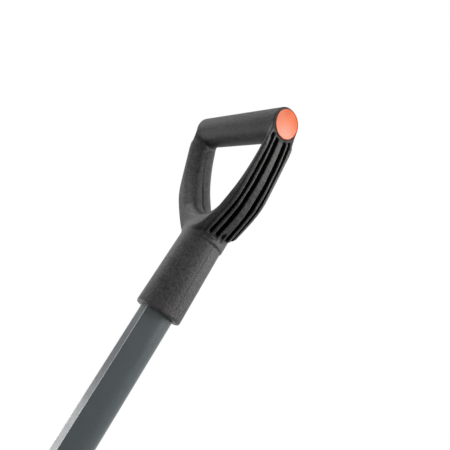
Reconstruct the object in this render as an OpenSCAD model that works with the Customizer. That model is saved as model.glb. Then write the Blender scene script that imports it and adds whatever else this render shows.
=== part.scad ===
/* [Shaft] */
// Length of bare shaft between the handle's collar and the blade's socket
shaft_free = 510; // [350:10:650]
// Radius of the shaft's rounded back
shaft_back_r = 16.8; // [15:0.1:18]
// Distance of the rounded back's centre behind the shaft axis
shaft_back_y = 1.5; // [0:0.1:3]
// Depth from the shaft axis to the flat strip down its front
shaft_front_y = 18.5; // [17:0.1:20]
// Width of the flat strip between its rounded edges
strip_w = 11; // [6:0.5:14]
// Radius of the strip's rounded edges
strip_edge_r = 1.5; // [1:0.1:3]
// Wall of the steel tube
shaft_wall = 1.3; // [0.9:0.1:2]
// Gap between the shaft and what it is pushed into
shaft_gap = 0.15; // [0.05:0.05:0.3]

/* [Collar] */
// Length of the collar from its mouth to the foot of the arms
collar_l = 101.5; // [85:0.5:120]
// Radius of the collar at its mouth
collar_mouth_r = 25.4; // [24.5:0.1:26.5]
// Radius of the collar under the neck
collar_top_r = 24; // [23.4:0.1:24]
// Rounding of the mouth's lip
lip_r = 2.5; // [1:0.1:3]
// Height of the thicker neck under the foot of the arms
neck_h = 13.5; // [11:0.5:16]
// Height of the neck's top above the foot of the arms
neck_rise = 2.2; // [1.8:0.1:3]
// Step from the collar out to the neck
neck_step = 1.2; // [1:0.1:1.3]
// Plastic left between the shaft's end and the foot of the arms
seat_t = 10; // [8:1:16]

/* [Grip] */
// Width of the handle over both ends of the grip bar
grip_w = 139; // [134:1:146]
// Diameter of the grip bar
grip_d = 36; // [36:0.5:38]
// Height of the bar's axis above the foot of the arms
grip_h = 125.5; // [122:0.5:130]
// Forward tilt of the handle
grip_tilt = 14.5; // [10:0.5:18]
// Radius of the hollow core of the bar
core_r = 11; // [8:0.5:12]

/* [Arms] */
// Radius of the upper stretch of an arm's outer face
arm_upper_r = 252; // [244:1:262]
// Radius of the lower stretch of an arm's outer face
arm_lower_r = 84; // [80:1:88]
// Height at which the two stretches meet
arm_bend_h = 35; // [33:0.5:38]
// Front-to-back width of an arm at the bar
arm_w = 35.4; // [34:0.1:35.6]
// Splay of an arm's front and back sides towards its foot
arm_splay = 1.5; // [1:0.1:1.8]
// Thickness of an arm at the bar
arm_t = 11.5; // [10.5:0.5:12.5]
// Rounding of an arm's inner edges
arm_edge_r = 14; // [11:0.5:15]
// Radius of the opening's sides
opening_side_r = 187; // [182:1:194]
// Radius of the opening's foot
opening_foot_r = 34; // [32:0.5:35]
// Height of the opening's foot above the foot of the arms
opening_foot_h = 20; // [19:0.5:22]
// Reach of the arms' base from the middle of the handle
base_r = 25.4; // [25.4:0.1:26.4]
// Drop of the arms' base below the foot of the arms
base_drop = 7.5; // [6.5:0.5:8]
// Rounding of the arms' base towards the back
base_round_r = 28; // [27:1:31]
// Reach by which the outer faces' rounding stands out of their flat middle at the base
arm_crown = 1.2; // [1:0.1:1.8]
// Radius of the ball that the rounding follows up the arms
crown_ball_r = 60; // [59:0.5:62]

/* [Slots in the arms] */
// Width of the two slots beside the centre rib
inner_slot_w = 5; // [3:0.5:6]
// Width of the two slots beside the flanges
outer_slot_w = 3; // [2:0.5:4]
// Width of the centre rib at the bar
centre_rib_w = 6; // [5:0.5:8]
// Width of the thin ribs at the bar
thin_rib_w = 2; // [1.5:0.1:3]
// Splay of the outer slots towards the foot, of which the inner slots take their share
slot_splay = 1.8; // [1.3:0.1:2]
// Plastic left under the slots
slot_floor_t = 6; // [5:0.5:7]
// Plastic left between the slots and the end caps
slot_margin = 3; // [2:0.5:5]
// Plastic left under the slots' lower ends
slot_sill = 1; // [0.5:0.1:3]

/* [End caps] */
// Radius of an end cap
cap_r = 15.6; // [14:0.1:16]
// Thickness of a cap's disc
cap_t = 3.5; // [2.5:0.5:5]
// Depth of a cap below the end of the bar
cap_recess = 0.8; // [0.7:0.1:1.5]
// Gap round a cap and its plug
cap_gap = 0.15; // [0.05:0.05:0.3]
// Length of a cap's plug
plug_l = 14; // [8:1:20]
// Wall of a cap's plug
plug_wall = 1.8; // [1.2:0.1:2.5]

/* [Handle screw] */
// Radius of the screw's shank
screw_r = 2.4; // [2:0.1:3]
// Radius of the screw's head
screw_head_r = 4.6; // [4:0.1:5.5]
// Height of the screw's head
screw_head_h = 2.6; // [2:0.1:3]
// Length of the screw under its head
screw_l = 12; // [10:0.5:16]
// Height of the screw above the collar's mouth
screw_z = 45; // [25:1:70]
// Gap round the screw
screw_gap = 0.15; // [0.05:0.05:0.3]

/* [Blade] */
// Length of the blade from its treads to its tip
blade_l = 380; // [320:5:420]
// Width of the blade at the treads
blade_w = 150; // [130:2:170]
// Width of the blade where its tip begins
blade_tip_w = 126; // [112:2:140]
// Radius of the two curves that meet at the tip
tip_r = 130; // [110:5:160]
// Thickness of the steel
blade_t = 2; // [1.5:0.1:3]
// Radius of the dish across the blade
dish_r = 200; // [160:5:260]
// Angle by which the blade leans forward of the shaft
blade_lift = 6; // [0:1:10]
// Gap between the blade and the socket's tang
tang_gap = 0.1; // [0.05:0.05:0.3]

/* [Treads] */
// Depth of a tread from front to back
tread_d = 32; // [26:1:40]
// Thickness of a tread
tread_t = 4; // [3:0.5:6]
// Reach of a tread behind the shaft axis
tread_back = 9; // [6:0.5:12]
// Rounding of a tread's outer corners
tread_corner_r = 8; // [4:1:12]
// Gap between a tread and the socket
tread_gap = 0.3; // [0.1:0.1:0.5]

/* [Socket] */
// Height of the socket above the treads
socket_h = 70; // [50:2:100]
// Wall of the socket
socket_wall = 2.4; // [1.8:0.1:3.5]
// Steel under the shaft's end
socket_floor_t = 6; // [4:0.5:10]
// Depth of the sleeve below the treads
sleeve_drop = 8; // [6:1:14]
// Length of the tang that straddles the blade, below the treads
tang_l = 160; // [120:5:200]
// Radius of the tang's rounded end
tang_tip_r = 4; // [3:0.5:6]
// Radius of the weld beads
weld_r = 2.2; // [1.5:0.1:3]

/* [Hidden] */
$fn = 96;

// Spare length by which a cutter runs past the face that it cuts
spare = 1;
// A length greater than any piece of the handle
far = 200;
// A sweep's reach out of the opening, past the outer faces
arm_reach = 70;
// The foot of the opening is cut this much deeper than its sides, which run on below it by this angle
blend_lap = 0.5;
blend_angle = 3;
// A stretch is narrower by this much than the stretch that it carries on
join_ease = 0.04;

// The shaft's section is three circles and the lines that touch them
strip_edge = [strip_w / 2, strip_edge_r - shaft_front_y];
back_centre = [0, shaft_back_y];
section_rise = shaft_back_y - strip_edge[1];
section_turn = atan2(strip_edge[0], section_rise)
    + acos((shaft_back_r - strip_edge_r) / norm([strip_edge[0], section_rise]));
section_side = [sin(section_turn), -cos(section_turn)];

// Heights along the shaft axis, from the collar's mouth
shaft_top_z = collar_l - seat_t;
socket_top_z = -shaft_free;
tread_z = socket_top_z - socket_h;
shaft_foot_z = tread_z + socket_floor_t;

// The handle's outer faces: an upper arc, a lower arc that touches it at the bend, and a run to the base
upper_arc = [grip_w / 2 - arm_upper_r, grip_h];
bend_angle = asin((grip_h - arm_bend_h) / arm_upper_r);
bend_ray = [cos(bend_angle), -sin(bend_angle)];
lower_arc = upper_arc + (arm_upper_r - arm_lower_r) * bend_ray;
base_corner = [base_r, -base_drop];
run_angle = ray_angle(lower_arc, base_corner) + acos(arm_lower_r / norm(base_corner - lower_arc));
run_ray = [cos(run_angle), sin(run_angle)];
handle_top = grip_h + grip_d / 2 + spare;
// Slopes of the cones that round the outer faces, from the base up
CROWN_SLOPES = [34, 27, 20, 13];

// The opening: a foot arc on the centre line and a side arc that touches it under the bar's end
foot_arc = [0, opening_foot_h + opening_foot_r];
bar_corner = [grip_w / 2 - arm_t, grip_h];
side_arc = circles_meet(bar_corner, opening_side_r, foot_arc, opening_side_r - opening_foot_r + blend_lap);
side_end_angle = ray_angle(side_arc, bar_corner);
touch_angle = ray_angle(side_arc, foot_arc);
slot_end_angle = ray_angle(foot_arc, [base_r, slot_sill - base_drop]);

// The slots, from the middle of the arm outwards
inner_slot_y = (centre_rib_w + inner_slot_w) / 2;
outer_slot_y = inner_slot_y + inner_slot_w / 2 + thin_rib_w + outer_slot_w / 2;
SLOTS = [for (s = [-1, 1], slot = [[inner_slot_y, inner_slot_w], [outer_slot_y, outer_slot_w]])
    [s * slot[0], slot[1]]];

cap_seat_x = grip_w / 2 - cap_recess - cap_t;
screw_seat_y = collar_mouth_r - neck_step - screw_head_h;

// The blade's outline
tip_turn = atan((blade_w - blade_tip_w) / 2 / blade_l);
tip_arc_x = blade_tip_w / 2 - tip_r * cos(tip_turn);
tip_arc_z = sqrt(tip_r * tip_r - tip_arc_x * tip_arc_x) - blade_l;
shoulder_z = tip_arc_z - tip_r * sin(tip_turn);

socket_grow = shaft_gap + socket_wall;
socket_side_x = shaft_back_r + socket_grow;

steel = [0.42, 0.43, 0.44];
shaft_paint = [0.28, 0.31, 0.32];
black_plastic = [0.14, 0.14, 0.15];
orange_plastic = [0.93, 0.42, 0.27];

// The direction of one point from another, in degrees
function ray_angle(from, to) = atan2(to[1] - from[1], to[0] - from[0]);

// The point left of the line from b to a that lies at distance ra from a and rb from b
function circles_meet(a, ra, b, rb) =
    let (
        d = norm(b - a),
        along = (ra * ra - rb * rb + d * d) / (2 * d),
        across = sqrt(ra * ra - along * along),
        u = (b - a) / d
    )
    a + along * u + across * [u[1], -u[0]];

// The shaft's outer section, offset outwards by grow
module shaft_section(grow = 0) {
    edge_r = strip_edge_r + grow;
    back_r = shaft_back_r + grow;
    right = [
        strip_edge + [0, -edge_r],
        strip_edge + edge_r * section_side,
        back_centre + back_r * section_side
    ];
    left = [for (i = [len(right) - 1:-1:0]) [-right[i][0], right[i][1]]];
    translate(back_centre) circle(back_r);
    for (s = [-1, 1])
        translate([s * strip_edge[0], strip_edge[1]]) circle(edge_r);
    polygon(concat(right, left));
}

// Stands the handle on the collar, tilted forward
module on_collar() {
    translate([0, 0, collar_l]) rotate([grip_tilt, 0, 0]) children();
}

// Thickens an outline drawn in the handle's plane towards the front and the back
module across_handle(front, back) {
    translate([0, back, 0]) rotate([90, 0, 0]) linear_extrude(front + back) children();
}

// Sweeps a profile about an axis that runs from back to front through a point of the handle's plane
module swept(centre, from_angle, to_angle) {
    translate([centre[0], 0, centre[1]])
        rotate([90, 0, 0])
            rotate([0, 0, from_angle])
                rotate_extrude(angle = to_angle - from_angle) children();
}

// Splays what is below the bar towards the front
module splayed(angle) {
    translate([0, 0, grip_h]) rotate([-angle, 0, 0]) translate([0, 0, -grip_h]) children();
}

module both_sides() {
    children();
    mirror([1, 0, 0]) children();
}

// The right half of what lies inside the handle's outer faces
module half_outline() {
    bend_far = lower_arc + far * bend_ray;
    run_start = lower_arc + arm_lower_r * run_ray;
    intersection() {
        translate([0, -base_drop]) square([far, base_drop + handle_top]);
        union() {
            intersection() {
                translate(upper_arc) circle(arm_upper_r);
                polygon([lower_arc, bend_far, [far, far], lower_arc + [0, far]]);
            }
            translate(lower_arc) circle(arm_lower_r);
            polygon([lower_arc, run_start, base_corner, [lower_arc[0], -base_drop]]);
        }
    }
}

// Everything between the handle's outer faces
module handle_outline() {
    across_handle(far, far) {
        half_outline();
        mirror([1, 0]) half_outline();
    }
}

// Everything inside the rounding of the outer faces: cones that all touch one ball on the middle line
module crown() {
    foot = [base_r + arm_crown, -base_drop];
    steepest = CROWN_SLOPES[0];
    ball_h = foot[1] + (crown_ball_r - foot[0] * cos(steepest)) / sin(steepest);
    from_h = foot[1] - spare;
    to_h = handle_top + spare;
    intersection_for(slope = CROWN_SLOPES)
        translate([0, 0, from_h]) cylinder(
            r1 = crown_ball_r / cos(slope) + (from_h - ball_h) * tan(slope),
            r2 = crown_ball_r / cos(slope) + (to_h - ball_h) * tan(slope),
            h = to_h - from_h
        );
}

// Everything above the arms' base, which is flat at the front and rounded up towards the back
module above_base() {
    base_h = -base_drop - spare;
    translate([-far, -far, base_h]) cube([2 * far, far, far + grip_h]);
    translate([-far, -spare, base_round_r - base_drop]) cube([2 * far, far, far]);
    translate([0, 0, base_round_r - base_drop])
        rotate([0, 90, 0]) cylinder(r = base_round_r, h = 2 * far, center = true);
}

// Section of the front half of an arm of width w, with its rounded inner edge at radius r
module arm_section(r, w) {
    half_w = w / 2;
    translate([r, -spare]) square([arm_reach, half_w - arm_edge_r + spare]);
    translate([r + arm_edge_r, -spare]) square([arm_reach - arm_edge_r, half_w + spare]);
    translate([r + arm_edge_r, half_w - arm_edge_r]) circle(arm_edge_r);
}

// The arms and the saddle between them, in front of the middle plane
module front_of_arms() {
    intersection() {
        translate([-far, -far, -far]) cube([2 * far, far, 2 * far]);
        splayed(arm_splay) {
            both_sides() swept(side_arc, touch_angle - blend_angle, side_end_angle)
                arm_section(opening_side_r, arm_w);
            swept(foot_arc, -180 - touch_angle, touch_angle)
                arm_section(opening_foot_r, arm_w - join_ease);
        }
    }
}

// A slot's round end, drilled through the arm along a ray of the arc that the slot follows
module slot_end(arc, angle, y, w, floor_r) {
    translate([arc[0], -y, arc[1]])
        rotate([0, 90 - angle, 0])
            translate([0, 0, floor_r]) cylinder(d = w - join_ease, h = arm_reach);
}

// The stretch of a slot beside the opening's side, y in front of the right arm's middle at the bar
module slot_beside_opening(y, w) {
    floor_r = opening_side_r + slot_floor_t;
    cap_clear = cap_r + slot_margin + w / 2;
    top_drop = sqrt(cap_clear * cap_clear - y * y);
    top_angle = asin((grip_h - top_drop - side_arc[1]) / (opening_side_r + arm_t));
    splayed(slot_splay * y / outer_slot_y) {
        swept(side_arc, touch_angle - blend_angle, top_angle)
            translate([floor_r, y - w / 2]) square([arm_reach, w]);
        slot_end(side_arc, top_angle, y, w, floor_r);
    }
}

// The stretch of a slot under the opening's foot
module slot_below_opening(y, w) {
    floor_r = opening_foot_r + slot_floor_t;
    splayed(slot_splay * y / outer_slot_y) {
        swept(foot_arc, slot_end_angle, touch_angle)
            translate([floor_r, y - w / 2]) square([arm_reach, w]);
    }
}

// The pockets for the end caps and the bar's hollow core
module bar_bores() {
    translate([0, 0, grip_h]) rotate([0, 90, 0]) {
        cylinder(r = core_r, h = grip_w, center = true);
        for (end = [0, 1])
            mirror([0, 0, end]) translate([0, 0, cap_seat_x]) cylinder(r = cap_r + cap_gap, h = far);
    }
}

// The collar and the neck above it, turned about the shaft axis and cut off along the foot of the arms
module collar() {
    neck_r = collar_top_r + neck_step;
    neck_z = collar_l - neck_h;
    neck_top_z = collar_l + neck_rise + neck_r * tan(grip_tilt) + spare;
    intersection() {
        rotate_extrude() {
            polygon([
                [0, 0], [collar_mouth_r - lip_r, 0], [collar_mouth_r, lip_r],
                [collar_top_r, neck_z], [neck_r, neck_z], [neck_r, neck_top_z], [0, neck_top_z]
            ]);
            translate([collar_mouth_r - lip_r, lip_r]) circle(lip_r);
        }
        on_collar() translate([-far, -far, neck_rise - 2 * far]) cube(2 * far);
    }
}

module screw_hole() {
    translate([0, screw_seat_y, screw_z]) rotate([-90, 0, 0]) {
        cylinder(r = screw_head_r + screw_gap, h = far);
        translate([0, 0, -screw_l - spare]) cylinder(r = screw_r + screw_gap, h = screw_l + 2 * spare);
    }
}

// The collar, the arms, the saddle between them and the bar, in one moulding
module moulding() {
    collar();
    on_collar() intersection() {
        handle_outline();
        union() {
            for (back = [0, 1]) mirror([0, back, 0]) front_of_arms();
            translate([0, 0, grip_h]) rotate([0, 90, 0]) cylinder(d = grip_d, h = 2 * far, center = true);
        }
        crown();
        above_base();
    }
}

module handle_body() {
    color(black_plastic) difference() {
        difference() {
            moulding();
            on_collar() both_sides() for (slot = SLOTS) slot_beside_opening(slot[0], slot[1]);
        }
        on_collar() both_sides() for (slot = SLOTS) slot_below_opening(slot[0], slot[1] - join_ease);
        on_collar() bar_bores();
        translate([0, 0, -spare]) linear_extrude(shaft_top_z + spare) shaft_section(shaft_gap);
        screw_hole();
    }
}

// The cap in the right end of the bar: a disc and the hollow plug behind it
module end_cap() {
    plug_r = core_r - cap_gap;
    on_collar() translate([cap_seat_x, 0, grip_h]) rotate([0, 90, 0]) color(orange_plastic) {
        cylinder(r = cap_r, h = cap_t);
        translate([0, 0, -plug_l]) difference() {
            cylinder(r = plug_r, h = plug_l + cap_t / 2);
            translate([0, 0, -spare]) cylinder(r = plug_r - plug_wall, h = plug_l + spare);
        }
    }
}

module end_cap_right() {
    end_cap();
}

module end_cap_left() {
    mirror([1, 0, 0]) end_cap();
}

module handle_screw() {
    color(steel) translate([0, screw_seat_y, screw_z]) rotate([-90, 0, 0]) {
        cylinder(r = screw_head_r, h = screw_head_h);
        translate([0, 0, -screw_l]) cylinder(r = screw_r, h = screw_l + spare);
    }
}

module shaft_tube() {
    color(shaft_paint) difference() {
        translate([0, 0, shaft_foot_z]) linear_extrude(shaft_top_z - shaft_foot_z) difference() {
            shaft_section();
            shaft_section(-shaft_wall);
        }
        screw_hole();
    }
}

// Places what belongs to the blade under the treads, leaning forward
module on_blade() {
    translate([0, 0, tread_z]) rotate([-blade_lift, 0, 0]) children();
}

// Keeps what lies below a height
module below(z) {
    intersection() {
        children();
        translate([-far, -far, z - 2 * blade_l]) cube([2 * far, 2 * far, 2 * blade_l]);
    }
}

module blade_outline() {
    polygon([
        [-blade_tip_w / 2, shoulder_z], [blade_tip_w / 2, shoulder_z],
        [blade_w / 2, 0], [blade_w / 2, far], [-blade_w / 2, far], [-blade_w / 2, 0]
    ]);
    intersection_for(s = [-1, 1]) translate([s * tip_arc_x, tip_arc_z]) circle(tip_r);
}

// The dished sheet that the blade is cut from, thickened on both faces by grow
module dished_sheet(grow = 0) {
    translate([0, -dish_r, -blade_l - far]) difference() {
        cylinder(r = dish_r + blade_t + grow, h = blade_l + 2 * far);
        translate([0, 0, -spare]) cylinder(r = dish_r - grow, h = blade_l + 2 * far + 2 * spare);
    }
}

module blade() {
    color(steel) below(tread_z - tread_t) on_blade() intersection() {
        dished_sheet();
        across_handle(blade_w, blade_w) blade_outline();
    }
}

// The sleeve round the shaft's foot, and the tapered tang that straddles the blade
module blade_socket() {
    color(steel) difference() {
        union() {
            translate([0, 0, tread_z - sleeve_drop])
                linear_extrude(sleeve_drop + socket_h) shaft_section(socket_grow);
            tang();
        }
        translate([0, 0, shaft_foot_z]) linear_extrude(socket_h) shaft_section(shaft_gap);
        below(tread_z - tread_t + tang_gap) on_blade() dished_sheet(tang_gap);
        below(tread_z - sleeve_drop) tang(-socket_wall);
    }
}

// The taper under the sleeve, thickened by grow
module tang(grow = 0) {
    on_blade() translate([0, 0, -tang_l]) {
        cylinder(r1 = tang_tip_r + grow, r2 = socket_side_x + grow, h = tang_l);
        sphere(tang_tip_r + grow);
    }
}

// The right tread: a flat step with rounded outer corners, on the blade's top edge
module tread() {
    inner_x = socket_side_x + tread_gap;
    outer_x = blade_w / 2;
    color(steel) translate([0, tread_back - tread_d, tread_z - tread_t]) linear_extrude(tread_t) {
        translate([inner_x, 0]) square([outer_x - tread_corner_r - inner_x, tread_d]);
        translate([inner_x, tread_corner_r]) square([outer_x - inner_x, tread_d - 2 * tread_corner_r]);
        for (y = [tread_corner_r, tread_d - tread_corner_r])
            translate([outer_x - tread_corner_r, y]) circle(tread_corner_r);
    }
}

module tread_right() {
    tread();
}

module tread_left() {
    mirror([1, 0, 0]) tread();
}

// A fillet of weld under each tread, along the back of the blade
module tread_welds() {
    back_r = dish_r + blade_t;
    from_angle = acos((blade_w / 2 - tread_corner_r) / back_r);
    to_angle = acos((socket_side_x + 2 * weld_r) / back_r);
    color(steel) both_sides()
        translate([0, -dish_r, tread_z - tread_t])
            rotate([0, 0, from_angle])
                rotate_extrude(angle = to_angle - from_angle)
                    translate([back_r, 0]) intersection() {
                        circle(weld_r);
                        translate([0, -weld_r]) square(weld_r);
                    }
}

// Weld beads down both edges of the tang, on the front and the back of the blade
module tang_welds() {
    lean = atan((socket_side_x - tang_tip_r) / tang_l);
    color(steel) difference() {
        on_blade() both_sides()
            translate([tang_tip_r, blade_t / 2, -tang_l])
                rotate([0, lean, 0])
                    cylinder(r = weld_r + blade_t / 2, h = tang_l - 2 * sleeve_drop);
        tang(tang_gap);
        on_blade() dished_sheet(tang_gap);
    }
}

// The ring of weld round the shaft on top of the socket
module shaft_weld() {
    color(steel) translate([0, 0, socket_top_z]) linear_extrude(weld_r) difference() {
        shaft_section(weld_r);
        shaft_section(shaft_gap);
    }
}

blade();
blade_socket();
tread_left();
tread_right();
tread_welds();
tang_welds();
shaft_weld();
shaft_tube();
handle_body();
end_cap_left();
end_cap_right();
handle_screw();
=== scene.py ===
"""Looks of the transplanting spade: finished meshes, materials, light and camera."""

import math

import bmesh
import bpy
import numpy as np
from mathutils import Matrix, Vector


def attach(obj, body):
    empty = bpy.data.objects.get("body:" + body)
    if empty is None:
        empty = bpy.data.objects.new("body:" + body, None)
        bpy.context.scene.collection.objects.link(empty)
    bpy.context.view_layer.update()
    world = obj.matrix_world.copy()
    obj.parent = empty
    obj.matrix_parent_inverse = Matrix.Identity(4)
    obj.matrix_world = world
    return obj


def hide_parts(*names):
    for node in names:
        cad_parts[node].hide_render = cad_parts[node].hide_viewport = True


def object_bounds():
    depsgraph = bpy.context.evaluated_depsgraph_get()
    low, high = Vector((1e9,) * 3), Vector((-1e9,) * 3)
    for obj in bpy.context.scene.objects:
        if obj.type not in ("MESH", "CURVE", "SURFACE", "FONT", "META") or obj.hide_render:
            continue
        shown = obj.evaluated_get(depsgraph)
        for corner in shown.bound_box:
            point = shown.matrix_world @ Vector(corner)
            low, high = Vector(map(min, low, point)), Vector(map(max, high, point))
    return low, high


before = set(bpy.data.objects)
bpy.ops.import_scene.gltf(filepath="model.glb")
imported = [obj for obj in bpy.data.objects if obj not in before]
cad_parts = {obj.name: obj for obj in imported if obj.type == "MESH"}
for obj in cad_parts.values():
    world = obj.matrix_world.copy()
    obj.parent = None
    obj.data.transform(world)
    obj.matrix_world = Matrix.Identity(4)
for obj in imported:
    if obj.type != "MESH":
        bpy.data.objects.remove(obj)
cad_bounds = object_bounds()

MM = 0.001

# Sizes of the handle, as in the solids
COLLAR_L = 101.5 * MM
NECK_Z = COLLAR_L - 13.5 * MM
GRIP_W = 139 * MM
GRIP_D = 36 * MM
GRIP_H = 125.5 * MM
GRIP_TILT = math.radians(14.5)

# The handle's own frame: it stands on the collar, tilted forward
HANDLE = Matrix.Translation((0, 0, COLLAR_L)) @ Matrix.Rotation(GRIP_TILT, 4, "X")

# The cones that bound the arms' outer sides: their slopes in degrees, and the ball they all touch
CROWN_SLOPES = (34, 27, 20, 13)
CROWN_BALL_R = 60 * MM
CROWN_BALL_H = 60.36 * MM

# The bend that evens the cones out: heights past both ends of the handle, close together, and how
# many of them each corner is spread over
BEND_HEIGHTS = np.arange(-200, 240, 0.2) * MM
BEND_SPREAD = 201

# The opening: the height of its middle, and the height and radius of its round foot
OPENING_H = 75 * MM
FOOT_H = 20 * MM
FOOT_R = 34 * MM

# How far the saddle's lower edge is below that foot, and how much less towards +x
SADDLE_H = 20.4 * MM
SADDLE_SLOPE = 0.45

# Widths of the mould's parting lines
ARM_SEAM_W = 1.5 * MM
COLLAR_SEAM_W = 1.2 * MM

# The handle's new mesh: its grain, the share of its faces that stays, and the rounds of smoothing
# for all of it, for its edges at the bar and for the step at its neck
HANDLE_VOXEL = 0.75 * MM
HANDLE_SHARE = 0.4
HANDLE_ROUNDS = 3
EDGE_ROUNDS = 60
NECK_ROUNDS = 240

# End caps: a disc with a domed face and a rounded rim in the bar's recess, and the plug behind it
CAP_R = 15.6 * MM
CAP_T = 3.5 * MM
CAP_RECESS = 0.8 * MM
CAP_DOME = 0.75 * MM
CAP_RINGS = 8
CAP_RIM_R = 0.7 * MM
PLUG_R = 10.85 * MM
PLUG_L = 14 * MM
PLUG_WALL = 1.8 * MM

# The screw at the back of the collar: its shank and point, its head, and the cross recess in it
SCREW_R = 2.4 * MM
SCREW_L = 12 * MM
SCREW_POINT = 2 * MM
SCREW_Z = 45 * MM
SCREW_SEAT_Y = 21.6 * MM
SCREW_STEPS = 44
HEAD_R = 4.6 * MM
HEAD_H = 2.6 * MM
HEAD_FLAT_R = 0.6 * HEAD_R
HEAD_FALL = 0.1 * MM
HEAD_ROUND_R = 1.3 * MM
CROSS_W = 1.1 * MM
CROSS_L = 4.6 * MM
CROSS_H = 3 * MM

# The shaft's flat front strip: its distance from the axis, its width, how soft the borders of its
# painted lighter tone are, and the width of the painted highlight along its corners
STRIP_Y = 18.5 * MM
STRIP_W = 11 * MM
STRIP_FADE = 1.5 * MM
STRIP_BLUR = 0.3 * MM
STRIP_CORNER_W = 1.6 * MM

# Weld beads: the grain of their meshes, the radius on which the shaft's bead runs, and the slant of
# the ripples, in radians for a metre of depth
WELD_VOXEL = 0.55 * MM
WELD_RING_R = 25 * MM
RIPPLE_SLANT = 400

# Corners closer than this are one, and steel edges sharper than this (in degrees) are eased
MERGE_DIST = 1e-6
STEEL_EDGE = 35

# Points of a rounded corner, and how far an edge stands out where its wear starts and is full
ARC_STEPS = 6
EDGE_RISE = (0.04, 0.3)


def smoothstep(low, high, value):
    """A soft step from 0 at low to 1 at high; low may be the greater of the two."""
    t = np.clip((value - low) / (high - low), 0, 1)
    return t * t * (3 - 2 * t)


def finished_mesh(bm, name):
    """Turns a bmesh into a mesh and frees it."""
    mesh = bpy.data.meshes.new(name)
    bm.to_mesh(mesh)
    bm.free()
    return mesh


def merged_copy(node):
    """A copy of a solid's mesh with its corners joined."""
    bm = bmesh.new()
    bm.from_mesh(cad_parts[node].data)
    bmesh.ops.remove_doubles(bm, verts=bm.verts, dist=MERGE_DIST)
    return finished_mesh(bm, node + "_copy")


def mesh_object(name, mesh):
    obj = bpy.data.objects.new(name, mesh)
    bpy.context.scene.collection.objects.link(obj)
    return obj


def modify(obj, kind, **settings):
    modifier = obj.modifiers.new(kind.lower(), kind)
    for key, value in settings.items():
        setattr(modifier, key, value)


def settle(obj):
    """Turns an object's modifiers into plain geometry."""
    graph = bpy.context.evaluated_depsgraph_get()
    mesh = bpy.data.meshes.new_from_object(obj.evaluated_get(graph))
    mesh.name = obj.name
    obj.modifiers.clear()
    obj.data = mesh


def dress(obj, node, material, sharp=None):
    """Gives a finished piece its material and shading, hangs it on the root body and hides the
    solid it stands for.
    """
    mesh = obj.data
    mesh.materials.clear()
    mesh.materials.append(material)
    mesh.polygons.foreach_set("use_smooth", [True] * len(mesh.polygons))
    if sharp is not None:
        mesh.set_sharp_from_angle(angle=math.radians(sharp))
    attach(obj, "root")
    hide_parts(node)


def lathe(name, profile, place, steps=96):
    """Turns a profile of (radius, height) points about the z axis and puts it in place."""
    bm = bmesh.new()
    verts = [bm.verts.new((r, 0, h)) for r, h in profile]
    edges = [bm.edges.new(pair) for pair in zip(verts, verts[1:])]
    bmesh.ops.spin(bm, geom=verts + edges, axis=(0, 0, 1), cent=(0, 0, 0),
                   angle=2 * math.pi, steps=steps, use_merge=True)
    bmesh.ops.remove_doubles(bm, verts=bm.verts, dist=MERGE_DIST)
    bmesh.ops.recalc_face_normals(bm, faces=bm.faces)
    bmesh.ops.transform(bm, matrix=place, verts=bm.verts)
    return mesh_object(name, finished_mesh(bm, name))


def corner_arc(radius, cr, ch, start):
    """A rounded corner of a profile about (cr, ch), from an angle in degrees down to its side."""
    angles = [math.radians(start - start * i / ARC_STEPS) for i in range(ARC_STEPS + 1)]
    return [(cr + radius * math.cos(a), ch + radius * math.sin(a)) for a in angles]


def float_attribute(mesh, name, values):
    attribute = mesh.attributes.new(name, "FLOAT", "POINT")
    attribute.data.foreach_set("value", values)


def vertex_array(mesh, field):
    """The places or the normals of a mesh's vertices, a row each."""
    values = np.empty(len(mesh.vertices) * 3, dtype=np.float32)
    mesh.vertices.foreach_get(field, values)
    return values.reshape(-1, 3)


def move_vertices(mesh, places):
    mesh.vertices.foreach_set("co", places.ravel())
    mesh.update()


def edge_ends(mesh):
    """The two vertices of every edge, as two arrays, and how many edges each vertex has."""
    ends = np.empty(len(mesh.edges) * 2, dtype=np.int32)
    mesh.edges.foreach_get("vertices", ends)
    return ends[0::2], ends[1::2], np.bincount(ends, minlength=len(mesh.vertices))


def edge_values(mesh):
    """How much each vertex stands out of its neighbours, from 0 to 1."""
    places, normals = vertex_array(mesh, "co"), vertex_array(mesh, "normal")
    a, b, neighbours = edge_ends(mesh)
    along = places[b] - places[a]
    along /= np.maximum(np.linalg.norm(along, axis=1, keepdims=True), 1e-9)
    count = len(places)
    rise = np.bincount(b, (along * normals[b]).sum(1), count)
    rise -= np.bincount(a, (along * normals[a]).sum(1), count)
    return smoothstep(*EDGE_RISE, rise / neighbours)


def relax(mesh, rounds, weight=1):
    """Draws each vertex half way to its neighbours' mean, or less where its weight is less."""
    places = vertex_array(mesh, "co").astype(float)
    a, b, neighbours = edge_ends(mesh)
    count = len(places)
    for _ in range(rounds):
        for axis in range(3):
            at = places[:, axis]
            total = np.bincount(a, at[b], count) + np.bincount(b, at[a], count)
            at += 0.5 * weight * (total / neighbours - at)
    move_vertices(mesh, places)


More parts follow.
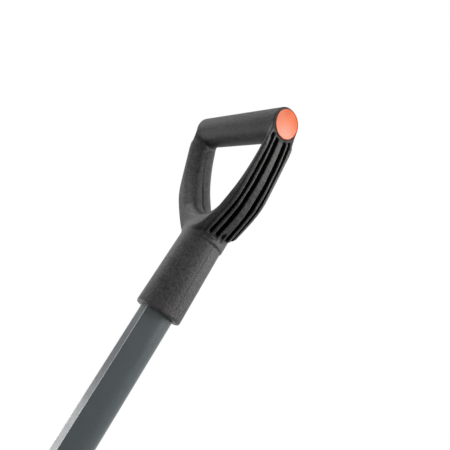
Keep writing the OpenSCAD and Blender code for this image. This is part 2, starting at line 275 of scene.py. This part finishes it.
class Shader:
    """A short way to write a tree of shader nodes."""

    def __init__(self, tree):
        self.tree = tree

    def add(self, kind, inputs=None, **settings):
        node = self.tree.nodes.new("ShaderNode" + kind)
        for key, value in settings.items():
            setattr(node, key, value)
        for key, value in (inputs or {}).items():
            self.put(node.inputs[key], value)
        return node

    def put(self, socket, value):
        if isinstance(value, bpy.types.NodeSocket):
            self.tree.links.new(value, socket)
        else:
            socket.default_value = value

    def math(self, operation, a, b=0.5):
        return self.add("Math", {0: a, 1: b}, operation=operation).outputs[0]

    def plus(self, value, share, extra):
        """A value with a share of another added to it."""
        inputs = {0: extra, 1: share, 2: value}
        return self.add("Math", inputs, operation="MULTIPLY_ADD").outputs[0]

    def ramp(self, value, low, high, to_low=0.0, to_high=1.0):
        inputs = {"Value": value, "From Min": low, "From Max": high,
                  "To Min": to_low, "To Max": to_high}
        return self.add("MapRange", inputs, interpolation_type="SMOOTHSTEP").outputs[0]

    def mix(self, factor, a, b):
        return self.add("Mix", {0: factor, 6: a, 7: b}, data_type="RGBA").outputs[2]

    def attribute(self, name):
        return self.add("Attribute", attribute_name=name).outputs["Fac"]

    def thin_line(self, distance, width):
        return self.ramp(self.math("ABSOLUTE", distance), width / 4, width / 2, 1.0, 0.0)

    def noise(self, vector, scale, detail, roughness):
        inputs = {"Vector": vector, "Scale": scale, "Detail": detail, "Roughness": roughness}
        return self.add("TexNoise", inputs).outputs[0]


def new_group(name, inputs, outputs):
    """An empty node group with these sockets: its shader, what it is given and what it gives."""
    group = bpy.data.node_groups.new(name, "ShaderNodeTree")
    for in_out, sockets in (("INPUT", inputs), ("OUTPUT", outputs)):
        for label, kind in sockets.items():
            group.interface.new_socket(label, in_out=in_out, socket_type="NodeSocket" + kind)
    given = group.nodes.new("NodeGroupInput").outputs
    gives = group.nodes.new("NodeGroupOutput").inputs
    return Shader(group), given, gives


def make_grain_group():
    """Moulded or sprayed grain: a height, a slow variation and a mottle between the two."""
    shader, given, gives = new_group(
        "surface_grain",
        {"Vector": "Vector", "Fine Scale": "Float", "Mottle Scale": "Float", "Slow Scale": "Float"},
        {"Height": "Float", "Variation": "Float", "Mottle": "Float"})
    fine = shader.noise(given["Vector"], given["Fine Scale"], detail=3, roughness=0.6)
    mottle = shader.noise(given["Vector"], given["Mottle Scale"], detail=3, roughness=0.65)
    slow = shader.noise(given["Vector"], given["Slow Scale"], detail=5, roughness=0.6)
    shader.put(gives["Height"], shader.plus(mottle, 0.3, fine))
    shader.put(gives["Variation"], slow)
    shader.put(gives["Mottle"], shader.ramp(mottle, 0.32, 0.68))
    return shader.tree


def make_wear_group():
    """Edges rubbed to a lighter colour where the noise lets them."""
    shader, given, gives = new_group(
        "edge_wear",
        {"Colour": "Color", "Worn Colour": "Color", "Edge": "Float", "Vector": "Vector",
         "Amount": "Float"},
        {"Colour": "Color"})
    patches = shader.noise(given["Vector"], scale=120, detail=4, roughness=0.65)
    patches = shader.ramp(patches, 0.25, 0.6)
    wear = shader.math("MULTIPLY", given["Edge"], patches)
    wear = shader.math("MULTIPLY", wear, given["Amount"])
    shader.put(gives["Colour"], shader.mix(wear, given["Colour"], given["Worn Colour"]))
    return shader.tree


def make_dust_group():
    """A thin film of dust and scuffs."""
    shader, given, gives = new_group(
        "dust_film",
        {"Colour": "Color", "Dust Colour": "Color", "Vector": "Vector", "Amount": "Float"},
        {"Colour": "Color", "Dust": "Float"})
    cloud = shader.noise(given["Vector"], scale=55, detail=7, roughness=0.7)
    cloud = shader.ramp(cloud, 0.45, 0.75)
    specks = shader.noise(given["Vector"], scale=620, detail=2, roughness=0.5)
    specks = shader.ramp(specks, 0.6, 0.72)
    film = shader.math("MULTIPLY", shader.plus(cloud, 0.6, specks), given["Amount"])
    film = shader.math("MINIMUM", film, 1.0)
    shader.put(gives["Colour"], shader.mix(film, given["Colour"], given["Dust Colour"]))
    shader.put(gives["Dust"], film)
    return shader.tree


GRAIN = make_grain_group()
WEAR = make_wear_group()
DUST = make_dust_group()


def add_grain(shader, place, fine, mottle, slow):
    inputs = {"Vector": place, "Fine Scale": fine, "Mottle Scale": mottle, "Slow Scale": slow}
    return shader.add("Group", inputs, node_tree=GRAIN).outputs


def add_wear(shader, place, colour, worn_colour, amount):
    inputs = {"Colour": colour, "Worn Colour": worn_colour, "Edge": shader.attribute("edge"),
              "Vector": place, "Amount": amount}
    return shader.add("Group", inputs, node_tree=WEAR).outputs["Colour"]


def add_dust(shader, place, colour, dust_colour, amount):
    inputs = {"Colour": colour, "Dust Colour": dust_colour, "Vector": place, "Amount": amount}
    return shader.add("Group", inputs, node_tree=DUST).outputs


def rgb(*levels):
    """A colour given as it looks on a screen, each level from 0 to 255."""
    shares = [level / 255 for level in levels]
    linear = [((s + 0.055) / 1.055) ** 2.4 if s > 0.04045 else s / 12.92 for s in shares]
    return (*linear, 1.0)


# Colours; where there are two, the surface varies between them
# The clean plastic's darker colour is also painted shade, on the front below the saddle and up the
# arm at +x
PLASTIC_CLEAN_SHADED = rgb(11, 11, 12), rgb(17, 17, 19)
PLASTIC_USED = rgb(25, 25, 27), rgb(40, 39, 41)
PLASTIC_MOTTLE = rgb(12, 12, 13), rgb(98, 95, 92)
PLASTIC_DUST = rgb(112, 108, 106)
PLASTIC_WORN = rgb(128, 126, 122)
PLASTIC_SEAM = rgb(8, 8, 9)
CAP_ORANGE = rgb(224, 94, 28), rgb(232, 106, 38)
CAP_DUST = rgb(205, 120, 92)
SHAFT_GREY = rgb(70, 79, 81), rgb(75, 84, 86)
# Painted light: the flat strip's lighter tone and the highlight along its corners
STRIP_LIT_GREY = rgb(106, 109, 114)
STRIP_CORNER_HIGHLIGHT = rgb(196, 199, 203)
BLADE_GREY = rgb(56, 58, 60), rgb(70, 72, 74)
BLADE_WORN = rgb(150, 150, 150)
COAT_DUST = rgb(128, 128, 124)
SCREW_ZINC = rgb(150, 150, 152), rgb(188, 188, 188)
FLOOR_PALE = rgb(236, 236, 236), rgb(244, 244, 244)
WHITE = rgb(255, 255, 255)

# The part of the slow noise over which a surface goes from one end of its range to the other
VARIES = (0.3, 0.7)


def new_material(name):
    material = bpy.data.materials.new(name)
    material.use_nodes = True
    material.node_tree.nodes.clear()
    shader = Shader(material.node_tree)
    surface = shader.add("BsdfPrincipled")
    output = shader.add("OutputMaterial")
    shader.put(output.inputs["Surface"], surface.outputs[0])
    place = shader.add("TexCoord").outputs["Object"]
    return material, shader, surface.inputs, place


def finish_material(shader, surface, colour, roughness, height, bump, depth):
    normal = shader.add("Bump", {"Height": height, "Strength": bump, "Distance": depth}).outputs[0]
    shader.put(surface["Base Color"], colour)
    shader.put(surface["Roughness"], roughness)
    shader.put(surface["Normal"], normal)


def parting_lines(shader, place):
    """The mould's parting lines: inside the arms half way through them, and down the collar."""
    inputs = {0: place, 1: HANDLE.col[1].xyz}
    depth = shader.add("VectorMath", inputs, operation="DOT_PRODUCT").outputs["Value"]
    depth = shader.math("SUBTRACT", depth, COLLAR_L * math.sin(GRIP_TILT))
    arms = shader.thin_line(depth, ARM_SEAM_W)
    arms = shader.math("MULTIPLY", arms, shader.attribute("inner"))
    axes = shader.add("SeparateXYZ", {0: place}).outputs
    collar = shader.thin_line(axes["Y"], COLLAR_SEAM_W)
    collar = shader.math("MULTIPLY", collar, shader.attribute("collar"))
    return shader.math("MAXIMUM", arms, collar)


def plastic_material():
    """The handle's plastic: mottled and scuffed where hands go, rubbed grey along its edges, and
    darker as painted shade on the smooth front below the saddle and up the arm at +x.
    """
    material, shader, surface, place = new_material("black_plastic")
    grain = add_grain(shader, place, fine=1500, mottle=330, slow=38)
    used_unshaded = shader.attribute("used_unshaded")
    matt = shader.attribute("bar")
    seam = parting_lines(shader, place)

    clean_shaded = shader.mix(grain["Variation"], *PLASTIC_CLEAN_SHADED)
    dull = shader.mix(grain["Variation"], *PLASTIC_USED)
    # Where the mask is clean, the darker colour paints shade as well as smooth plastic
    colour = shader.mix(used_unshaded, clean_shaded, dull)
    dark, light = [shader.mix(0.5, colour, tone) for tone in PLASTIC_MOTTLE]
    mottled = shader.mix(grain["Mottle"], dark, light)
    colour = shader.mix(shader.math("MULTIPLY", used_unshaded, 0.7), colour, mottled)
    dust_amount = shader.math("MULTIPLY", used_unshaded, 0.2)
    scuffed = add_dust(shader, place, colour, PLASTIC_DUST, dust_amount)
    colour = add_wear(shader, place, scuffed["Colour"], PLASTIC_WORN, amount=0.85)
    colour = shader.mix(seam, colour, PLASTIC_SEAM)

    roughness = shader.ramp(grain["Mottle"], 0.0, 1.0, 0.34, 0.46)
    roughness = shader.plus(roughness, 0.14, matt)
    roughness = shader.plus(roughness, 0.3, scuffed["Dust"])
    shine = shader.plus(shader.ramp(used_unshaded, 0.0, 1.0, 0.05, 0.3), -0.1, matt)
    shader.put(surface["Specular IOR Level"], shine)
    height = shader.plus(grain["Height"], -2.0, seam)
    finish_material(shader, surface, colour, roughness, height, bump=0.6, depth=0.9 * MM)
    return material


def cap_material():
    """The end caps' orange plastic with a trace of dust."""
    material, shader, surface, place = new_material("orange_plastic")
    grain = add_grain(shader, place, fine=1300, mottle=500, slow=60)
    colour = shader.mix(shader.ramp(grain["Variation"], *VARIES), *CAP_ORANGE)
    colour = add_dust(shader, place, colour, CAP_DUST, amount=0.12)["Colour"]
    roughness = shader.ramp(grain["Variation"], *VARIES, 0.27, 0.34)
    finish_material(shader, surface, colour, roughness, grain["Height"], bump=0.1, depth=0.1 * MM)
    return material


def coat_material(name, greys, roughness, wear_and_highlight):
    """Powder coat on steel; the last argument gives its colour with worn edges on the blade's
    pieces, and with painted highlights on the shaft's strip.
    """
    material, shader, surface, place = new_material(name)
    grain = add_grain(shader, place, fine=2200, mottle=700, slow=22)
    colour = shader.mix(shader.ramp(grain["Variation"], *VARIES), *greys)
    colour = add_dust(shader, place, colour, COAT_DUST, amount=0.05)["Colour"]
    colour = wear_and_highlight(shader, place, colour)
    roughness = shader.ramp(grain["Variation"], *VARIES, roughness - 0.05, roughness + 0.06)
    finish_material(shader, surface, colour, roughness, grain["Height"], bump=0.18, depth=0.1 * MM)
    return material


def painted_strip_highlight(shader, place, colour):
    """Painted highlight on the shaft's coat: lighter on its flat front strip, and most along the
    strip's corners.
    """
    axes = shader.add("SeparateXYZ", {0: place}).outputs
    front = shader.ramp(axes["Y"], -STRIP_Y, -STRIP_Y + STRIP_FADE, 1.0, 0.0)
    across = shader.math("SUBTRACT", shader.math("ABSOLUTE", axes["X"]), STRIP_W / 2)
    lit_strip = shader.ramp(across, -STRIP_BLUR, STRIP_BLUR, 1.0, 0.0)
    lit_strip = shader.math("MULTIPLY", front, lit_strip)
    # The strip's lighter tone and its corner line are painted highlight
    corner = shader.math("MULTIPLY", front, shader.thin_line(across, STRIP_CORNER_W))
    colour = shader.mix(shader.math("MULTIPLY", lit_strip, 0.5), colour, STRIP_LIT_GREY)
    return shader.mix(shader.math("MULTIPLY", corner, 0.8), colour, STRIP_CORNER_HIGHLIGHT)


def rubbed_edges(shader, place, colour):
    """The coat of the blade's pieces is worn along their edges."""
    return add_wear(shader, place, colour, BLADE_WORN, amount=0.8)


def steel_material():
    """The screw's zinc-plated steel."""
    material, shader, surface, place = new_material("zinc_steel")
    grain = add_grain(shader, place, fine=2600, mottle=900, slow=300)
    colour = shader.mix(shader.ramp(grain["Variation"], *VARIES), *SCREW_ZINC)
    surface["Metallic"].default_value = 1.0
    roughness = shader.ramp(grain["Variation"], *VARIES, 0.28, 0.42)
    finish_material(shader, surface, colour, roughness, grain["Height"], bump=0.15, depth=0.1 * MM)
    return material


HANDLE_PLASTIC = plastic_material()
CAP_PLASTIC = cap_material()
SHAFT_COAT = coat_material("shaft_coat", SHAFT_GREY, roughness=0.36, wear_and_highlight=painted_strip_highlight)
BLADE_COAT = coat_material("blade_coat", BLADE_GREY, roughness=0.45, wear_and_highlight=rubbed_edges)
SCREW_STEEL = steel_material()


def handle_places(mesh):
    """The vertices' x, depth and height in the handle's own frame."""
    to_local = np.array(HANDLE.inverted())
    return (vertex_array(mesh, "co") @ to_local[:3, :3].T + to_local[:3, 3]).T


def bar_distance(y, h):
    """How far places in the handle's own frame are outside the grip bar's round."""
    return np.hypot(y, h - GRIP_H) - GRIP_D / 2


def bend_arms(mesh):
    """Draws the arms in a little where the cones of their outer sides meet, for an even curve."""
    slopes = np.radians(CROWN_SLOPES)[:, None]
    cones = CROWN_BALL_R / np.cos(slopes) + (BEND_HEIGHTS - CROWN_BALL_H) * np.tan(slopes)
    outline = np.min(cones, axis=0)
    kernel = np.hanning(BEND_SPREAD)
    curve = np.convolve(outline, kernel / kernel.sum(), mode="same")
    x, _, h = handle_places(mesh)
    on_arm = smoothstep(14 * MM, 30 * MM, abs(x))
    shift = np.interp(h, BEND_HEIGHTS, curve - outline) * on_arm
    outward = np.array(HANDLE.col[0].xyz)
    move_vertices(mesh, vertex_array(mesh, "co") + (shift * np.sign(x))[:, None] * outward)


def rounding_masks(mesh):
    """Where the moulding is rounded further: its edges at the bar, and the step at its neck."""
    x, y, h = handle_places(mesh)
    x = abs(x)
    outside = bar_distance(y, h)

    # Where the arms run into the bar from below, and the arms' front and back edges beside it
    arm_edge = smoothstep(0.2 * MM, 1 * MM, outside) * smoothstep(10 * MM, 13 * MM, abs(y))
    corner = smoothstep(10 * MM, 4 * MM, abs(outside)) * smoothstep(44 * MM, 50 * MM, x)
    corner *= np.maximum(smoothstep(66 * MM, 61 * MM, x), arm_edge)
    corner *= smoothstep(GRIP_H - 2 * MM, GRIP_H - 8 * MM, h)

    # The rims of the bar's two ends
    rim = smoothstep(3.5 * MM, 1.5 * MM, abs(outside)) * smoothstep(66 * MM, 68 * MM, x)

    # The step between neck and saddle, on the front
    neck = smoothstep(-9 * MM, -6 * MM, h) * smoothstep(13 * MM, 8 * MM, h)
    neck *= smoothstep(-10 * MM, -13 * MM, y) * smoothstep(21 * MM, 16 * MM, x)
    return np.maximum(corner, rim), neck


def finish_masks(mesh):
    """The masks that the handle's plastic reads, by name."""
    x, y, h = handle_places(mesh)
    places, normals = vertex_array(mesh, "co"), vertex_array(mesh, "normal")
    z = places[:, 2]

    # The arms' inner sides, which face the middle of the opening
    to_middle = np.array(HANDLE @ Vector((0, 0, OPENING_H))) - places
    facing = (to_middle * normals).sum(1) / np.linalg.norm(to_middle, axis=1)
    inner = smoothstep(0.3, 0.6, facing)
    inner *= smoothstep(4 * MM, 8 * MM, h) * smoothstep(105 * MM, 95 * MM, h)

    # The collar between its lip and the neck
    collar = smoothstep(NECK_Z, NECK_Z - 2 * MM, z) * smoothstep(3 * MM, 6 * MM, z)

    # Smooth plastic that hands leave clean, its darker colour also painted shade: the front below
    # the saddle and up the arm at +x
    below_saddle = np.hypot(x, h - FOOT_H - FOOT_R) - (FOOT_R + SADDLE_H - SADDLE_SLOPE * x)
    forward = -normals @ np.array(HANDLE.col[1].xyz)
    clean_shaded = smoothstep(-1 * MM, 1.5 * MM, below_saddle) * smoothstep(-12 * MM, 18 * MM, x)
    clean_shaded *= smoothstep(-7 * MM, -1 * MM, h)
    clean_shaded *= smoothstep(GRIP_H - 12 * MM, GRIP_H - 22 * MM, h)
    clean_shaded *= smoothstep(0.35, 0.65, forward)
    # The painted shade is a fifth weaker higher up the arm
    clean_shaded *= 1 - 0.2 * smoothstep(30 * MM, 60 * MM, h)

    bar = smoothstep(4 * MM, 1 * MM, abs(bar_distance(y, h)))
    return {"inner": inner, "collar": collar, "bar": bar, "used_unshaded": 1 - clean_shaded}


def make_handle():
    """The moulding with rounded edges: meshed again at an even grain, smoothed and thinned."""
    obj = mesh_object("moulded_handle", merged_copy("handle_body"))
    modify(obj, "REMESH", mode="VOXEL", voxel_size=HANDLE_VOXEL)
    settle(obj)
    edges, neck = rounding_masks(obj.data)
    bend_arms(obj.data)
    relax(obj.data, HANDLE_ROUNDS)
    relax(obj.data, EDGE_ROUNDS, edges)
    relax(obj.data, NECK_ROUNDS, neck)
    modify(obj, "DECIMATE", ratio=HANDLE_SHARE)
    settle(obj)
    for name, values in finish_masks(obj.data).items():
        float_attribute(obj.data, name, values)
    float_attribute(obj.data, "edge", edge_values(obj.data))
    dress(obj, "handle_body", HANDLE_PLASTIC)


def make_cap(node, side):
    """An end cap: a faintly domed disc with a rounded rim, and the plug behind it."""
    face_r = CAP_R - CAP_RIM_R
    core_r = PLUG_R - PLUG_WALL
    shares = [i / CAP_RINGS for i in range(CAP_RINGS)]
    profile = [(face_r * share, CAP_T + CAP_DOME * (1 - share ** 2)) for share in shares]
    profile += corner_arc(CAP_RIM_R, face_r, CAP_T - CAP_RIM_R, 90)
    profile += [(CAP_R, 0), (PLUG_R, 0), (PLUG_R, -PLUG_L),
                (core_r, -PLUG_L), (core_r, CAP_T / 2), (0, CAP_T / 2)]
    seat_x = side * (GRIP_W / 2 - CAP_RECESS - CAP_T)
    turned = Matrix.Rotation(side * math.pi / 2, 4, "Y")
    place = HANDLE @ Matrix.Translation((seat_x, 0, GRIP_H)) @ turned
    obj = lathe(node + "_moulded", profile, place)
    dress(obj, node, CAP_PLASTIC, sharp=40)


def make_steel(node, material, ease):
    """A piece of steel with its edges eased by a width, or left as they are where it is 0."""
    obj = mesh_object(node + "_eased", merged_copy(node))
    if ease:
        modify(obj, "BEVEL", width=ease, segments=2, limit_method="ANGLE",
               angle_limit=math.radians(STEEL_EDGE))
        settle(obj)
    float_attribute(obj.data, "edge", edge_values(obj.data))
    dress(obj, node, material, sharp=STEEL_EDGE)


def make_weld(node, pitch, depth, run):
    """A weld bead with ripples a pitch apart; run(x, y, z) says how far along it a place is."""
    obj = mesh_object(node + "_rippled", merged_copy(node))
    modify(obj, "REMESH", mode="VOXEL", voxel_size=WELD_VOXEL)
    modify(obj, "SMOOTH", factor=0.5, iterations=3)
    settle(obj)
    mesh = obj.data
    places = vertex_array(mesh, "co").astype(float)
    x, y, z = places.T
    dip = 0.5 - 0.5 * np.cos(2 * np.pi * run(x, y, z) / pitch + RIPPLE_SLANT * y)
    move_vertices(mesh, places - vertex_array(mesh, "normal") * (depth * dip)[:, None])
    float_attribute(mesh, "edge", edge_values(mesh))
    dress(obj, node, BLADE_COAT)


def make_screw():
    """The handle's pan-head screw with a cross recess."""
    profile = [(0, HEAD_H), (HEAD_FLAT_R, HEAD_H - HEAD_FALL)]
    profile += corner_arc(HEAD_ROUND_R, HEAD_R - HEAD_ROUND_R,
                          HEAD_H - HEAD_ROUND_R - 2 * HEAD_FALL, 80)
    profile += [(HEAD_R, 0), (SCREW_R, 0), (SCREW_R, -SCREW_L + SCREW_POINT), (0, -SCREW_L)]
    turned = Matrix.Rotation(-math.pi / 2, 4, "X")
    place = Matrix.Translation((0, SCREW_SEAT_Y, SCREW_Z)) @ turned
    obj = lathe("cross_head_screw", profile, place, steps=SCREW_STEPS)

    # The cutter: a block at the cross's middle with its four sides drawn out
    bm = bmesh.new()
    bmesh.ops.create_cube(bm, size=1, matrix=Matrix.Diagonal((CROSS_W, CROSS_W, CROSS_H, 1)))
    bm.normal_update()
    sides = [face for face in bm.faces if abs(face.normal.z) < 0.5]
    for face in bmesh.ops.extrude_discrete_faces(bm, faces=sides)["faces"]:
        bmesh.ops.translate(bm, verts=face.verts, vec=face.normal * (CROSS_L - CROSS_W) / 2)
    lift = Matrix.Translation((0, 0, HEAD_H))
    bmesh.ops.transform(bm, matrix=place @ lift, verts=bm.verts)
    cutter = mesh_object("recess", finished_mesh(bm, "recess"))
    modify(obj, "BOOLEAN", operation="DIFFERENCE", object=cutter, solver="EXACT")
    settle(obj)
    bpy.data.objects.remove(cutter)
    dress(obj, "handle_screw", SCREW_STEEL, sharp=STEEL_EDGE)


make_handle()
make_cap("end_cap_right", side=1)
make_cap("end_cap_left", side=-1)
make_steel("shaft_tube", SHAFT_COAT, ease=0)
make_steel("blade_socket", BLADE_COAT, ease=0.5 * MM)
make_steel("blade", BLADE_COAT, ease=0.4 * MM)
make_steel("tread_left", BLADE_COAT, ease=0.8 * MM)
make_steel("tread_right", BLADE_COAT, ease=0.8 * MM)
make_weld("tread_welds", pitch=1.8 * MM, depth=0.3 * MM, run=lambda x, y, z: x)
make_weld("tang_welds", pitch=2.2 * MM, depth=0.35 * MM, run=lambda x, y, z: z)
make_weld("shaft_weld", pitch=2.0 * MM, depth=0.25 * MM,
          run=lambda x, y, z: WELD_RING_R * np.arctan2(x, -y))
make_screw()

# The floor: its radius, its gap under the spade, and the distances between which it turns white,
# from a faint glow of its own to a full one
FLOOR_R = 6.0
FLOOR_GAP = 0.5 * MM
FLOOR_FADE = (1.1, 2.6)
FLOOR_GLOW = (0.4, 1.0)

# What the world sheds on the spade, where white is 1
WORLD_LIGHT = 0.03

# Soft boxes round the handle: name, azimuth from the front towards +x, elevation and power
LIGHTS = [
    ("left_low", -60, -30, 6.2),
    ("left", -60, 20, 2.3),
    ("left_high", -30, 45, 5.0),
    ("right_front", 62, 0, 0.5),
    ("right_high", 90, 45, 5.2),
    ("right", 122, 20, 7.6),
    ("back", 158, 18, 4.2),
]

# Their size, and their distance from a height on the handle
LIGHT_SIZE = 0.6
LIGHT_DISTANCE = 1.15
LIGHT_AIM_H = 40 * MM

# The camera: where it looks from, its roll, the near end cap's place in the picture, its distance
# from that cap, its focus in pixels, the picture's width in pixels and the sensor's
AZIMUTH = math.radians(55.652)
ELEVATION = math.radians(-18.688)
ROLL = math.radians(31.347)
CAP_U = 287.645
CAP_V = 124.257
DISTANCE = 534.473 * MM
FOCUS = 521.045
PICTURE = 450
SENSOR = 36


def seen_rays(shader):
    """1 where a background is seen, straight, mirrored or through glass, and 0 where it lights."""
    path = shader.add("LightPath").outputs
    seen = shader.math("MAXIMUM", path["Is Camera Ray"], path["Is Transmission Ray"])
    return shader.math("MAXIMUM", seen, path["Is Glossy Ray"])


def make_floor():
    """A pale floor that turns to white away from the spade where it is seen."""
    bm = bmesh.new()
    bmesh.ops.create_circle(bm, cap_ends=True, segments=96, radius=FLOOR_R)
    bmesh.ops.translate(bm, verts=bm.verts, vec=(0, 0, cad_bounds[0][2] - FLOOR_GAP))
    floor = mesh_object("floor", finished_mesh(bm, "floor"))
    material, shader, surface, place = new_material("pale_floor")
    grain = add_grain(shader, place, fine=400, mottle=60, slow=3)
    colour = shader.mix(grain["Variation"], *FLOOR_PALE)
    away = shader.add("VectorMath", {0: place}, operation="LENGTH").outputs["Value"]
    glow = shader.ramp(away, *FLOOR_FADE, *FLOOR_GLOW)
    surface["Emission Color"].default_value = WHITE
    shader.put(surface["Emission Strength"], shader.math("MULTIPLY", seen_rays(shader), glow))
    finish_material(shader, surface, colour, 0.7, grain["Height"], bump=0.05, depth=0.2 * MM)
    floor.data.materials.append(material)


def make_world():
    """White where it is seen or mirrored, and a faint soft light for the rest."""
    world = bpy.data.worlds.new("studio")
    world.use_nodes = True
    world.node_tree.nodes.clear()
    shader = Shader(world.node_tree)
    white = shader.add("Background", {"Color": WHITE, "Strength": 1.0}).outputs[0]
    soft = shader.add("Background", {"Color": WHITE, "Strength": WORLD_LIGHT}).outputs[0]
    mix = shader.add("MixShader", {0: seen_rays(shader), 1: soft, 2: white}).outputs[0]
    shader.add("OutputWorld", {"Surface": mix})
    bpy.context.scene.world = world


def sphere_direction(azimuth, elevation):
    """A direction from its angles, where azimuth 0 is the front (-y)."""
    flat = math.cos(elevation)
    return Vector((math.sin(azimuth) * flat, -math.cos(azimuth) * flat, math.sin(elevation)))


def make_light(name, azimuth, elevation, power):
    towards = sphere_direction(math.radians(azimuth), math.radians(elevation))
    light = bpy.data.lights.new(name, "AREA")
    light.shape = "DISK"
    light.size = LIGHT_SIZE
    light.energy = power
    obj = bpy.data.objects.new(name, light)
    obj.location = HANDLE @ Vector((0, 0, LIGHT_AIM_H)) + LIGHT_DISTANCE * towards
    obj.rotation_euler = towards.to_track_quat("Z", "Y").to_euler()
    bpy.context.scene.collection.objects.link(obj)


def make_camera():
    """The camera at the photograph's angle, with the near end cap at its place in the picture."""
    back = sphere_direction(AZIMUTH, ELEVATION)
    level = Vector((math.cos(AZIMUTH), math.sin(AZIMUTH), 0))
    upright = back.cross(level)
    right = math.cos(ROLL) * level + math.sin(ROLL) * upright
    up = math.cos(ROLL) * upright - math.sin(ROLL) * level
    cap = HANDLE @ Vector((GRIP_W / 2, 0, GRIP_H))
    across = (CAP_U - PICTURE / 2) * DISTANCE / FOCUS
    above = (PICTURE / 2 - CAP_V) * DISTANCE / FOCUS
    eye = cap - across * right - above * up + DISTANCE * back
    data = bpy.data.cameras.new("camera")
    data.sensor_width = SENSOR
    data.lens = SENSOR * FOCUS / PICTURE
    data.clip_start = 0.01
    camera = bpy.data.objects.new("camera", data)
    turned = Matrix((right, up, back)).transposed()
    camera.matrix_world = Matrix.Translation(eye) @ turned.to_4x4()
    bpy.context.scene.collection.objects.link(camera)
    bpy.context.scene.camera = camera


make_floor()
make_world()
for settings in LIGHTS:
    make_light(*settings)
make_camera()
bpy.context.scene.view_settings.view_transform = "Standard"
